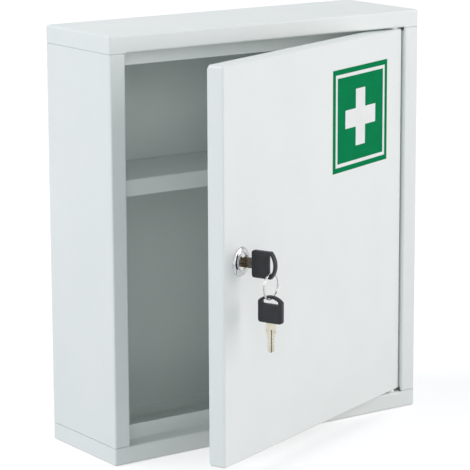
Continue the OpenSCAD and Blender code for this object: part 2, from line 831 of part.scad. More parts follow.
side_and_back_wrap();
top_cap();
bottom_cap();
shelf();
upper_hinge_bush();
lower_hinge_bush();
door_panel();
first_aid_label();
upper_hinge_pin();
lower_hinge_pin();
lock_housing();
lock_nut();
lock_plug();
tumbler_wafers();
wafer_springs();
lock_cam();
cam_washer();
cam_screw();
key_blade();
key_head();
key_ring();
spare_key_blade();
spare_key_head();
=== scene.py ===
"""Looks for the lockable medicine cabinet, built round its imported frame."""

import json
import logging
import math
from dataclasses import dataclass
from enum import Enum
from typing import Any, Callable, Iterable, Sequence

import bmesh
import bpy
from mathutils import Matrix, Vector


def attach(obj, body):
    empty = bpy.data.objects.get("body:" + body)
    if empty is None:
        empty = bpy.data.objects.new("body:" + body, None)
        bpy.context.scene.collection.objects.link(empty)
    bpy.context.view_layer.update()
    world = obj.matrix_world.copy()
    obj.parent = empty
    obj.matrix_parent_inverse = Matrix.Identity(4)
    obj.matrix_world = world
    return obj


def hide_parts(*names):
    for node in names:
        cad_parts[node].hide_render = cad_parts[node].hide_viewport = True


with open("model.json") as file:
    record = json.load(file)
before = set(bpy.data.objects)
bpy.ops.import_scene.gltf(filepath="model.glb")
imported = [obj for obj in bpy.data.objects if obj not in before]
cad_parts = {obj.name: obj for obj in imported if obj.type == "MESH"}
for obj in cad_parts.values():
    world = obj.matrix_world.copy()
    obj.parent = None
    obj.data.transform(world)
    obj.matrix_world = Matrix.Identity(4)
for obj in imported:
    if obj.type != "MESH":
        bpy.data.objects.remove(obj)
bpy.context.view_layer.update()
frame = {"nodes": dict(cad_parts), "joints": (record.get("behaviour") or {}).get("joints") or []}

LOG = logging.getLogger("medicine_cabinet")
MM = 0.001
TONE_SPAN = (0.3, 0.7)  # the part of a noise's range where most of its values lie
GROOVE_SHADE_SPAN = (0.45, 0.8)  # openness of a corner, from fully darkened by painted shade to unshaded
SHORT_OF_HALF = 0.49  # share of an edge that a fillet may take, so that two never meet
WELD = 1e-5  # distance, in millimetres, within which points are one

Point2 = tuple[float, float]
Point3 = tuple[float, float, float]
Level = tuple[float, float]
Outline = Callable[[float], Sequence[Point2]]


class Ink(Enum):
    """What the sign is printed with, by the number of its material."""

    GREEN = 0
    WHITE = 1


# ---------------------------------------------------------------- colours and nodes


def linear(code: str) -> tuple[float, float, float, float]:
    """Turn an sRGB hex colour into linear light.

    Args:
        code: Six hex digits, without a hash.

    Returns:
        Linear red, green, blue and an alpha of 1.
    """
    parts = [int(code[i : i + 2], 16) / 255 for i in (0, 2, 4)]
    lit = [c / 12.92 if c <= 0.04045 else ((c + 0.055) / 1.055) ** 2.4 for c in parts]
    return (lit[0], lit[1], lit[2], 1.0)


def add(
    tree: bpy.types.NodeTree,
    kind: str,
    settings: dict[str, Any] | None = None,
    links: dict[str | int, bpy.types.NodeSocket] | None = None,
) -> bpy.types.Node:
    """Add one node with its settings and links.

    Args:
        tree: The node tree that the node goes into.
        kind: The node's type name.
        settings: Node properties, or input names, with their values. The name
            "stops" sets the positions and colours of a colour ramp.
        links: Input names or numbers, with the sockets that feed them.

    Returns:
        The new node.
    """
    made = tree.nodes.new(kind)
    for name, value in (settings or {}).items():
        if name == "stops":
            for element, (place, colour) in zip(made.color_ramp.elements, value):
                element.position = place
                element.color = colour
        elif isinstance(name, str) and hasattr(made, name):
            setattr(made, name, value)
        else:
            made.inputs[name].default_value = value
    for name, socket in (links or {}).items():
        tree.links.new(socket, made.inputs[name])
    return made


def new_material(name: str) -> tuple[bpy.types.Material, bpy.types.NodeTree]:
    """Start a material with an empty node tree.

    Args:
        name: The material's name.

    Returns:
        The material and its node tree.
    """
    material = bpy.data.materials.new(name)
    material.use_nodes = True
    material.node_tree.nodes.clear()
    return material, material.node_tree


def cycles_per_metre(size_mm: float) -> float:
    """Noise scale that repeats about once every size_mm millimetres."""
    return 1.0 / (size_mm * MM)


# ---------------------------------------------------------------- finishes


@dataclass(frozen=True)
class Finish:
    """A surface finish over plain geometry.

    Attributes:
        name: What the finish is, and how it was made.
        light: The lighter of its two sRGB hex tones.
        dark: The darker tone, which noise mixes in.
        tone_mm: Size of the patches of tone.
        metallic: 1 for a bare metal, 0 for anything else.
        roughness: Lowest and highest roughness.
        grain_mm: Size of the surface grain.
        grain_height_mm: Height of the surface grain.
        edge_mm: Radius that softens the edges, as plating or moulding does.
        ior: Index of refraction of a non-metal.
        gloss: Level of the surface reflection, where 0.5 is typical.
        subsurface: Weight of light that spreads under the surface.
        groove_shade_tone: The sRGB hex tone of the painted shade in grooves.
        groove_shade_mm: How far apart the walls of a groove with painted shade may be, or 0.
    """

    name: str
    light: str
    dark: str
    tone_mm: float
    metallic: float
    roughness: Point2
    grain_mm: float
    grain_height_mm: float
    edge_mm: float = 0.0
    ior: float = 1.5
    gloss: float = 0.5
    subsurface: float = 0.0
    groove_shade_tone: str = "3A352C"
    groove_shade_mm: float = 0.0

    def build(self) -> bpy.types.Material:
        """Make the material.

        Returns:
            The finished material.
        """
        material, tree = new_material(self.name)
        place = add(tree, "ShaderNodeTexCoord").outputs["Object"]
        tone = add(
            tree,
            "ShaderNodeTexNoise",
            {"Scale": cycles_per_metre(self.tone_mm), "Detail": 3.0, "Roughness": 0.55},
            {"Vector": place},
        ).outputs["Fac"]
        colour = add(
            tree,
            "ShaderNodeValToRGB",
            {"stops": ((TONE_SPAN[0], linear(self.dark)), (TONE_SPAN[1], linear(self.light)))},
            {"Fac": tone},
        ).outputs["Color"]
        # Painted shade: an ambient-occlusion mask darkens the colour towards a dark tone in
        # grooves and tight corners.
        if self.groove_shade_mm:
            open_share = add(tree, "ShaderNodeAmbientOcclusion",
                        {"samples": 8, "Distance": self.groove_shade_mm * MM}).outputs["AO"]
            bare = add(tree, "ShaderNodeMapRange",
                       {"From Min": GROOVE_SHADE_SPAN[0], "From Max": GROOVE_SHADE_SPAN[1]},
                       {"Value": open_share})
            colour = add(tree, "ShaderNodeMix",
                         {"data_type": "RGBA", 6: linear(self.groove_shade_tone)},
                         {0: bare.outputs["Result"], 7: colour}).outputs[2]
        grain = add(
            tree,
            "ShaderNodeTexNoise",
            {"Scale": cycles_per_metre(self.grain_mm), "Detail": 2.0, "Roughness": 0.5},
            {"Vector": place},
        ).outputs["Fac"]
        roughness = add(
            tree,
            "ShaderNodeMapRange",
            {"From Min": TONE_SPAN[0], "From Max": TONE_SPAN[1],
             "To Min": self.roughness[0], "To Max": self.roughness[1]},
            {"Value": grain},
        ).outputs["Result"]
        normal = add(
            tree,
            "ShaderNodeBump",
            {"Strength": 1.0, "Distance": self.grain_height_mm * MM},
            {"Height": grain},
        )
        if self.edge_mm:
            soft = add(tree, "ShaderNodeBevel", {"samples": 4, "Radius": self.edge_mm * MM})
            tree.links.new(soft.outputs["Normal"], normal.inputs["Normal"])
        shader = add(
            tree,
            "ShaderNodeBsdfPrincipled",
            {"Metallic": self.metallic},
            {"Base Color": colour, "Roughness": roughness, "Normal": normal.outputs["Normal"]},
        )
        if not self.metallic:
            shader.inputs["IOR"].default_value = self.ior
            shader.inputs["Specular IOR Level"].default_value = self.gloss
            shader.inputs["Subsurface Weight"].default_value = self.subsurface
            shader.inputs["Subsurface Scale"].default_value = MM
        add(tree, "ShaderNodeOutputMaterial", None, {"Surface": shader.outputs["BSDF"]})
        return material


# Sprayed and baked polyester on steel: a soft, even sheen broken by orange peel.
POWDER_COAT = Finish(
    name="powder_coated_steel", light="EAF0ED", dark="E6EDEA", tone_mm=60.0, metallic=0.0,
    roughness=(0.30, 0.40), grain_mm=1.4, grain_height_mm=0.03, edge_mm=0.35,
)
# Printed vinyl film with a slow ripple from its glue. Its gloss is set below that of
# real vinyl, to reach the deep green of the photograph.
PRINTED_GREEN = Finish(
    name="printed_vinyl_green", light="00834F", dark="007C4A", tone_mm=14.0, metallic=0.0,
    roughness=(0.42, 0.52), grain_mm=5.0, grain_height_mm=0.02, gloss=0.015,
)
PRINTED_WHITE = Finish(
    name="printed_vinyl_white", light="F1F4F2", dark="E9EEEB", tone_mm=14.0, metallic=0.0,
    roughness=(0.42, 0.52), grain_mm=5.0, grain_height_mm=0.02, gloss=0.04,
)
# Bright chrome on a polished die casting: sharp reflections over faint clouds of tone.
CHROME_PLATE = Finish(
    name="chrome_plated_zinc", light="CFD1D2", dark="A3A7A9", tone_mm=4.0, metallic=1.0,
    roughness=(0.06, 0.12), grain_mm=3.0, grain_height_mm=0.012, edge_mm=0.12,
)
# Nickel on a turned plug face: warmer and softer than the chrome round it.
BRIGHT_NICKEL = Finish(
    name="nickel_plated_plug", light="D9D8D2", dark="C3C1B9", tone_mm=3.0, metallic=1.0,
    roughness=(0.12, 0.22), grain_mm=0.5, grain_height_mm=0.003, edge_mm=0.12,
)
# Nickel on milled brass: warm grey, with a fine even grain, and painted shade darkening its
# grooves.
NICKEL_PLATE = Finish(
    name="nickel_plated_brass", light="D3CFC0", dark="BDB8A6", tone_mm=5.0, metallic=1.0,
    roughness=(0.20, 0.34), grain_mm=0.35, grain_height_mm=0.006, edge_mm=0.12,
    groove_shade_mm=1.4,
)
# The spare key's nickel, made dark and warm as painted shade for the blade in the lock, where
# the head shades its neck; satin.
NICKEL_PAINTED_SHADE = Finish(
    name="nickel_plate_painted_shade", light="766D60", dark="554E43", tone_mm=2.5, metallic=1.0,
    roughness=(0.30, 0.44), grain_mm=0.3, grain_height_mm=0.006, edge_mm=0.12,
    groove_shade_mm=1.4,
)
# Bright zinc on pressed steel: cool grey, slightly cloudy.
ZINC_PLATE = Finish(
    name="zinc_plated_steel", light="C3C7CB", dark="A5AAB0", tone_mm=3.0, metallic=1.0,
    roughness=(0.28, 0.42), grain_mm=0.5, grain_height_mm=0.004, edge_mm=0.12,
)
# Drawn and nickel-plated wire: bright, with a very fine even grain.
SPRING_WIRE = Finish(
    name="nickel_plated_spring_wire", light="CFCFCC", dark="B2B2AF", tone_mm=2.0,
    metallic=1.0, roughness=(0.14, 0.24), grain_mm=0.4, grain_height_mm=0.002,
)
# Stamped brass wafers: yellow metal with burnished faces.
STAMPED_BRASS = Finish(
    name="stamped_brass", light="CBA65A", dark="AE8A45", tone_mm=2.0, metallic=1.0,
    roughness=(0.24, 0.36), grain_mm=0.4, grain_height_mm=0.004, edge_mm=0.08,
)
# Spark-textured moulded ABS: black that greys where light rakes its fine grain.
MOULDED_ABS = Finish(
    name="moulded_black_abs", light="2B2E31", dark="222527", tone_mm=6.0, metallic=0.0,
    roughness=(0.34, 0.46), grain_mm=0.35, grain_height_mm=0.02, ior=1.54, gloss=0.25,
)
# Moulded nylon: milky white, light spreads a little under its surface.
MOULDED_NYLON = Finish(
    name="moulded_nylon", light="F0F0EA", dark="E6E6DF", tone_mm=4.0, metallic=0.0,
    roughness=(0.36, 0.48), grain_mm=0.6, grain_height_mm=0.006, edge_mm=0.1, ior=1.53,
    subsurface=0.15,
)


class Paintbox:
    """Makes each finish once and hands it out."""

    def __init__(self) -> None:
        """Start with no finishes made."""
        self._made: dict[str, bpy.types.Material] = {}

    def get(self, finish: Finish) -> bpy.types.Material:
        """Return the material of a finish, and make it the first time.

        Args:
            finish: The finish.

        Returns:
            Its material.
        """
        if finish.name not in self._made:
            self._made[finish.name] = finish.build()
        return self._made[finish.name]

    def dress(self, node: str, finish: Finish) -> None:
        """Put a finish on a CAD node that keeps its own shape.

        Args:
            node: The node's name.
            finish: The finish that it gets.
        """
        target = frame["nodes"][node]
        target.data.materials.clear()
        target.data.materials.append(self.get(finish))
        LOG.info("dressed %s with %s", node, finish.name)


# ---------------------------------------------------------------- mesh tools


def fillet(corners: Sequence[Point2], radii: Sequence[float], steps: int = 5) -> list[Point2]:
    """Round the corners of a closed outline.

    Args:
        corners: The outline's corners, in order.
        radii: One rounding distance for each corner.
        steps: Points added on each rounded corner.

    Returns:
        The rounded outline.
    """
    out: list[Point2] = []
    count = len(corners)
    for i, (corner, radius) in enumerate(zip(corners, radii)):
        here = Vector(corner)
        if radius <= 0:
            out.append((here.x, here.y))
            continue
        before = Vector(corners[i - 1]) - here
        after = Vector(corners[(i + 1) % count]) - here
        start = here + before.normalized() * min(radius, before.length * SHORT_OF_HALF)
        end = here + after.normalized() * min(radius, after.length * SHORT_OF_HALF)
        for k in range(steps + 1):
            t = k / steps
            p = start * (1 - t) ** 2 + here * 2 * t * (1 - t) + end * t**2
            out.append((p.x, p.y))
    return out


def finish_piece(
    name: str, bm: bmesh.types.BMesh, place: Matrix, body: str,
    materials: Iterable[bpy.types.Material], smooth_below: float = 35.0,
) -> bpy.types.Object:
    """Turn a bmesh drawn in millimetres into a piece that rides on a body.

    Args:
        name: The piece's name.
        bm: The mesh, in millimetres, in its own frame.
        place: The frame's place in the row frame, in metres.
        body: The CAD body that the piece rides on.
        materials: The piece's materials, in the order of its faces' indices.
        smooth_below: Edges flatter than this angle, in degrees, shade smoothly.

    Returns:
        The new object.
    """
    bmesh.ops.remove_doubles(bm, verts=bm.verts, dist=WELD)
    bmesh.ops.recalc_face_normals(bm, faces=bm.faces)
    bm.transform(place @ Matrix.Scale(MM, 4))
    for face in bm.faces:
        face.smooth = True
    limit = math.radians(smooth_below)
    for edge in bm.edges:
        edge.smooth = len(edge.link_faces) == 2 and edge.calc_face_angle(0.0) < limit
    mesh = bpy.data.meshes.new(name)
    bm.to_mesh(mesh)
    bm.free()
    for material in materials:
        mesh.materials.append(material)
    piece = bpy.data.objects.new(name, mesh)
    bpy.context.scene.collection.objects.link(piece)
    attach(piece, body)
    LOG.info("built %s: %d faces", name, len(mesh.polygons))
    return piece


def revolve(
    bm: bmesh.types.BMesh, profile: Sequence[Point2], segments: int,
    shape: Callable[[float, float, float], Point3] | None = None,
) -> None:
    """Turn a closed profile of (radius, height) about Z.

    Args:
        bm: The mesh that takes the faces.
        profile: The closed profile, with every radius above zero.
        segments: Steps round the axis.
        shape: Optional rule from (radius, angle, height) to a point.
    """
    rings = []
    for k in range(segments):
        angle = 2 * math.pi * k / segments
        ring = []
        for radius, height in profile:
            if shape:
                point = shape(radius, angle, height)
            else:
                point = (radius * math.cos(angle), radius * math.sin(angle), height)
            ring.append(bm.verts.new(point))
        rings.append(ring)
    count = len(profile)
    for k in range(segments):
        this, then = rings[k], rings[(k + 1) % segments]
        for i in range(count):
            j = (i + 1) % count
            bm.faces.new((this[i], then[i], then[j], this[j]))


def sweep(bm: bmesh.types.BMesh, path: Sequence[Vector], radius: float, sides: int) -> None:
    """Sweep a round wire along an open path and close its ends.

    Args:
        bm: The mesh that takes the faces.
        path: Points along the middle of the wire.
        radius: The wire's radius.
        sides: Sides of the wire's section.
    """
    rings = []
    across = Vector((0.0, 0.0, 1.0))
    for i, point in enumerate(path):
        ahead = path[min(i + 1, len(path) - 1)] - path[max(i - 1, 0)]
        ahead.normalize()
        across = (across - ahead * across.dot(ahead)).normalized()
        other = ahead.cross(across)
        ring = []
        for k in range(sides):
            a = 2 * math.pi * k / sides
            offset = across * math.cos(a) + other * math.sin(a)
            ring.append(bm.verts.new(point + offset * radius))
        rings.append(ring)
    for this, then in zip(rings, rings[1:]):
        for k in range(sides):
            j = (k + 1) % sides
            bm.faces.new((this[k], this[j], then[j], then[k]))
    bm.faces.new(rings[0])
    bm.faces.new(reversed(rings[-1]))


def wall(
    bm: bmesh.types.BMesh, levels: Sequence[Level], outline: Outline,
) -> tuple[list[bmesh.types.BMEdge], list[bmesh.types.BMEdge]]:
    """Join the rings of an outline that is pulled in level by level.

    Args:
        bm: The mesh that takes the faces.
        levels: Pairs of (height, inset), from one end to the other.
        outline: Rule from an inset to a closed outline, always of as many points.

    Returns:
        The edges of the first ring, and those of the last.
    """
    rings = [
        [bm.verts.new((x, y, height)) for x, y in outline(inset)]
        for height, inset in levels
    ]
    for this, then in zip(rings, rings[1:]):
        for k in range(len(this)):
            j = (k + 1) % len(this)
            bm.faces.new((this[k], this[j], then[j], then[k]))
    first, last = (
        [bm.edges.get((ring[k - 1], ring[k])) for k in range(len(ring))]
        for ring in (rings[0], rings[-1])
    )
    return first, last


def plate(
    bm: bmesh.types.BMesh, levels: Sequence[Level], outlines: Sequence[Outline],
    panel: Outline, rise: float,
) -> None:
    """Build a plate with rounded edges and a panel raised on both its faces.

    Args:
        bm: The mesh that takes the faces.
        levels: Pairs of (height, inset), from one face to the other.
        outlines: The outside, then any hole.
        panel: Outline of the raised panel.
        rise: Height of the panel, and the radius of its edge.
    """
    ends: list[list[bmesh.types.BMEdge]] = [[], []]
    for outline in outlines:
        for end, ring in zip(ends, wall(bm, levels, outline)):
            end.extend(ring)
    steps = 4
    for end, side, (face, _) in zip(ends, (-1, 1), (levels[0], levels[-1])):
        turns = [math.pi / 2 * k / steps for k in range(steps + 1)]
        edge = [(face + side * rise * math.sin(a), rise * (1 - math.cos(a))) for a in turns]
        foot, top = wall(bm, edge, panel)
        bmesh.ops.triangle_fill(bm, use_beauty=True, use_dissolve=False, edges=end + foot)
        bmesh.ops.triangle_fill(bm, use_beauty=True, use_dissolve=False, edges=top)


def rounded_levels(thickness: float, edge: float, steps: int = 4) -> list[Level]:
    """Levels of a plate with rounded edges, for plate().

    Args:
        thickness: The plate's thickness.
        edge: Radius of its edges.
        steps: Steps round each edge.

    Returns:
        Pairs of (height, inset).
    """
    half = thickness / 2
    lower = []
    for k in range(steps + 1):
        a = math.pi / 2 * k / steps
        lower.append((-half + edge * (1 - math.cos(a)), edge * (1 - math.sin(a))))
    return lower + [(-z, d) for z, d in reversed(lower)]


# ---------------------------------------------------------------- sub-assemblies


def joint(name: str) -> dict[str, Any]:
    """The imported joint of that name."""
    return next(j for j in frame["joints"] if j["name"] == name)


def lock_frame() -> Matrix:
    """Find the frame on the lock axis, at the door's face.

    Returns:
        The frame in metres, with X to the right, Y up and Z out of the door.
    """
    turn = joint("lock_turn")
    out = -Vector(turn["axis"]).normalized()
    up = Vector((0.0, 0.0, 1.0))
    right = up.cross(out).normalized()
    place = Matrix((right, up, out)).transposed().to_4x4()
    place.translation = Vector(turn["pos_m"])
    return place


@dataclass
class CabinetShell:
    """The folded sheets that stay on the wall, and the bushes in them.

    Attributes:
        sheets: The nodes of folded and coated sheet.
        bushes: The nodes of moulded nylon.
    """

    sheets: tuple[str, ...] = ("side_and_back_wrap", "top_cap", "bottom_cap", "shelf")
    bushes: tuple[str, ...] = ("upper_hinge_bush", "lower_hinge_bush")

    def build(self, paints: Paintbox) -> None:
        """Dress the sheets and the bushes.

        Args:
            paints: The finishes.
        """
        for node in self.sheets:
            paints.dress(node, POWDER_COAT)
        for node in self.bushes:
            paints.dress(node, MOULDED_NYLON)


@dataclass
class Door:
    """The door pan, its pins and the sign on it. Sizes are in millimetres.

    Attributes:
        pins: The nodes of plated steel.
        sign_thickness: Thickness of the sign's film.
        sign_band: Width of the green band round the sign.
        sign_line: Width of the white line inside that band.
        cross_size: Width and height of the cross.
        cross_arm: Width of the cross's arms.
    """

    pins: tuple[str, ...] = ("upper_hinge_pin", "lower_hinge_pin")
    sign_thickness: float = 0.2
    sign_band: float = 4.4
    sign_line: float = 3.0
    cross_size: Point2 = (51.0, 49.0)
    cross_arm: float = 15.8

    def build(self, paints: Paintbox) -> None:
        """Dress the pan and pins, and build the sign.

        Args:
            paints: The finishes.
        """
        paints.dress("door_panel", POWDER_COAT)
        for node in self.pins:
            paints.dress(node, ZINC_PLATE)
        self.build_sign(paints)

    def ink_at(self, x: float, y: float, half: Point2) -> Ink:
        """Tell what a point of the sign is printed with.

        Args:
            x: Distance to the right of the middle.
            y: Distance above the middle.
            half: Half the sign's width and height.

        Returns:
            White on the border line and on the cross, and else green.
        """
        edge = min(half[0] - abs(x), half[1] - abs(y))
        on_line = self.sign_band < edge < self.sign_band + self.sign_line
        arm = self.cross_arm / 2
        across = abs(x) < self.cross_size[0] / 2 and abs(y) < arm
        upright = abs(y) < self.cross_size[1] / 2 and abs(x) < arm
        return Ink.WHITE if on_line or across or upright else Ink.GREEN

    def build_sign(self, paints: Paintbox) -> None:
        """Build the first-aid sign: green field, white border line, white cross.

        Args:
            paints: The finishes.
        """
        node = frame["nodes"]["first_aid_label"]
        spin = lock_frame().to_3x3()
        points = [spin.transposed() @ v.co for v in node.data.vertices]
        low = Vector([min(p[i] for p in points) for i in range(3)])
        high = Vector([max(p[i] for p in points) for i in range(3)])
        place = spin.to_4x4()
        place.translation = spin @ Vector(
            ((low.x + high.x) / 2, (low.y + high.y) / 2, low.z)
        )
        half = ((high.x - low.x) / 2 / MM, (high.y - low.y) / 2 / MM)
        cuts = []
        for axis in (0, 1):
            inner = [half[axis], half[axis] - self.sign_band,
                     half[axis] - self.sign_band - self.sign_line,
                     self.cross_size[axis] / 2, self.cross_arm / 2]
            cuts.append(sorted([-c for c in inner] + inner))
        xs, ys = cuts
        bm = bmesh.new()
        top = [[bm.verts.new((x, y, self.sign_thickness)) for y in ys] for x in xs]
        base = [[bm.verts.new((x, y, 0.0)) for y in ys] for x in xs]
        last_x, last_y = len(xs) - 1, len(ys) - 1
        for i in range(last_x):
            for j in range(last_y):
                face = bm.faces.new((top[i][j], top[i + 1][j], top[i + 1][j + 1], top[i][j + 1]))
                middle = ((xs[i] + xs[i + 1]) / 2, (ys[j] + ys[j + 1]) / 2)
                face.material_index = self.ink_at(*middle, half).value
                bm.faces.new((base[i][j], base[i][j + 1], base[i + 1][j + 1], base[i + 1][j]))
        for i in range(last_x):
            for j in (0, last_y):
                bm.faces.new((top[i][j], top[i + 1][j], base[i + 1][j], base[i][j]))
        for j in range(last_y):
            for i in (0, last_x):
                bm.faces.new((top[i][j], top[i][j + 1], base[i][j + 1], base[i][j]))
        sign = finish_piece(
            "first_aid_sign", bm, place, "door",
            (paints.get(PRINTED_GREEN), paints.get(PRINTED_WHITE)),
        )
        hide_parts("first_aid_label")


@dataclass
class CamLock:
    """The wafer cam lock in the door. Sizes are in millimetres.

    Attributes:
        plated: The nodes of zinc-plated steel.
        rosette_radius: Radius of the rosette.
        boss_radius: Radius of the boss in its middle.
        boss_height: Height of the boss.
        flange_rise: Height of the flange where it meets the boss.
        flange: Corners of the flange, each as its distance in from the rim, its
            share of the rise, and its rounding.
        plain_corner: Rounding of the corners at the counterbore and the boss's foot.
        boss_corner: Rounding of the boss's outer edge.
        barrel_radius: Radius of the threaded barrel.
        barrel_flat: Distance of the barrel's flats from the axis.
        barrel_length: Length of the barrel behind the door's face.
        barrel_chamfer: Chamfer at the barrel's rear end.
        bore_radius: Radius of the bore that the plug turns in.
        counterbore_radius: Radius of the counterbore for the plug's head.
        counterbore_floor: Height of the counterbore's floor.
        rear_radius: Radius of the recess at the rear.
        rear_depth: Depth of that recess.
        step: Drop just behind the rosette, where the flats start.
        thread_pitch: Pitch of the thread.
        thread_depth: Depth of the thread.
        thread_steps: Points along one pitch.
        thread_lead: Plain length of the profile behind the rosette.
        thread_start: Plain length of the barrel behind the door's face.
        thread_end: Plain length of the barrel at its rear end.
        turn_steps: Steps round the lock axis.
        spring_radius: Radius of a wafer spring, to the middle of its wire.
        spring_wire: Radius of its wire.
        spring_turns: Turns of a spring.
        spring_steps: Points on one turn.
        spring_apart: Distance that tells one spring's points from the next one's.
    """

    plated: tuple[str, ...] = ("lock_nut", "lock_cam", "cam_washer", "cam_screw")
    rosette_radius: float = 12.0
    boss_radius: float = 8.0
    boss_height: float = 3.1
    flange_rise: float = 2.0
    flange: tuple[Point3, ...] = ((1.7, 0.86, 0.8), (0.5, 0.56, 0.6), (0.0, 0.18, 0.2))
    plain_corner: float = 0.15
    boss_corner: float = 0.3
    barrel_radius: float = 9.0
    barrel_flat: float = 8.3
    barrel_length: float = 15.2
    barrel_chamfer: float = 0.3
    bore_radius: float = 6.05
    counterbore_radius: float = 7.05
    counterbore_floor: float = 0.45
    rear_radius: float = 7.6
    rear_depth: float = 2.3
    step: float = 0.02
    thread_pitch: float = 1.0
    thread_depth: float = 0.35
    thread_steps: int = 6
    thread_lead: float = 1.0
    thread_start: float = 1.2
    thread_end: float = 0.5
    turn_steps: int = 128
    spring_radius: float = 0.42
    spring_wire: float = 0.12
    spring_turns: int = 7
    spring_steps: int = 14
    spring_apart: float = 1.6

    def build(self, paints: Paintbox) -> None:
        """Build the housing and springs, and dress what keeps its CAD shape.

        Args:
            paints: The finishes.
        """
        self.build_housing(paints)
        self.build_springs(paints)
        paints.dress("lock_plug", BRIGHT_NICKEL)
        paints.dress("tumbler_wafers", STAMPED_BRASS)
        for node in self.plated:
            paints.dress(node, ZINC_PLATE)

    def barrel_point(self, radius: float, angle: float, height: float) -> Point3:
        """Place a point of the housing: threads behind the door, and two flats.

        Args:
            radius: Radius in the profile.
            angle: Angle round the lock axis.
            height: Height along the lock axis.

        Returns:
            The point in the lock frame.
        """
        threaded = self.thread_start < -height < self.barrel_length - self.thread_end
        if threaded and radius > self.rear_radius:
            turn = (height / self.thread_pitch - angle / (2 * math.pi)) % 1.0
            radius -= self.thread_depth * abs(2 * turn - 1)
        x, y = radius * math.cos(angle), radius * math.sin(angle)
        if height < -self.step / 2:
            x = max(-self.barrel_flat, min(self.barrel_flat, x))
        return (x, y, height)

    def build_housing(self, paints: Paintbox) -> None:
        """Build the chromed rosette with its threaded barrel.

        Args:
            paints: The finishes.
        """
        end = -self.barrel_length
        corners = [
            (self.bore_radius, end + self.rear_depth, 0.0),
            (self.bore_radius, self.counterbore_floor, 0.0),
            (self.counterbore_radius, self.counterbore_floor, 0.0),
            (self.counterbore_radius, self.boss_height, self.plain_corner),
            (self.boss_radius, self.boss_height, self.boss_corner),
            (self.boss_radius, self.flange_rise, self.plain_corner),
        ]
        for inward, share, corner in self.flange:
            corners.append((self.rosette_radius - inward, share * self.flange_rise, corner))
        corners.append((self.rosette_radius, 0.0, 0.0))
        corners.append((self.barrel_radius, -self.step, 0.0))
        front = fillet([c[:2] for c in corners], [c[2] for c in corners])
        threaded = self.barrel_length - self.thread_lead - self.barrel_chamfer
        threads = [
            (self.barrel_radius, -self.thread_lead - k * self.thread_pitch / self.thread_steps)
            for k in range(int(threaded / self.thread_pitch * self.thread_steps))
        ]
        rear = [
            (self.barrel_radius, end + self.barrel_chamfer),
            (self.barrel_radius - self.barrel_chamfer, end),
            (self.rear_radius, end),
            (self.rear_radius, end + self.rear_depth),
        ]
        bm = bmesh.new()
        revolve(bm, front + threads + rear, self.turn_steps, self.barrel_point)
        housing = finish_piece(
            "lock_rosette_and_barrel", bm, lock_frame(), "door",
            (paints.get(CHROME_PLATE),), 40.0,
        )
        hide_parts("lock_housing")

    def build_springs(self, paints: Paintbox) -> None:
        """Wind the five wafer springs inside the spaces of their CAD solids.

        Args:
            paints: The finishes.
        """
        place = lock_frame()
        inverse = place.inverted()
        node = frame["nodes"]["wafer_springs"]
        points = [inverse @ v.co / MM for v in node.data.vertices]
        depths = sorted({round(p.z, 2) for p in points})
        starts = [depths[0]]
        for depth in depths:
            if depth - starts[-1] > self.spring_apart:
                starts.append(depth)
        x = (min(p.x for p in points) + max(p.x for p in points)) / 2
        base, top = min(p.y for p in points), max(p.y for p in points)
        climb = top - base - 2 * self.spring_wire
        count = self.spring_turns * self.spring_steps
        bm = bmesh.new()
        for start in starts:
            middle = start + self.spring_radius + self.spring_wire
            path = []
            for k in range(count + 1):
                angle = 2 * math.pi * k / self.spring_steps
                path.append(Vector((
                    x + self.spring_radius * math.cos(angle),
                    base + self.spring_wire + climb * k / count,
                    middle + self.spring_radius * math.sin(angle),
                )))
            sweep(bm, path, self.spring_wire, 6)
        springs = finish_piece(
            "wafer_coil_springs", bm, place, "lock_core",
            (paints.get(SPRING_WIRE),),
        )
        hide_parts("wafer_springs")


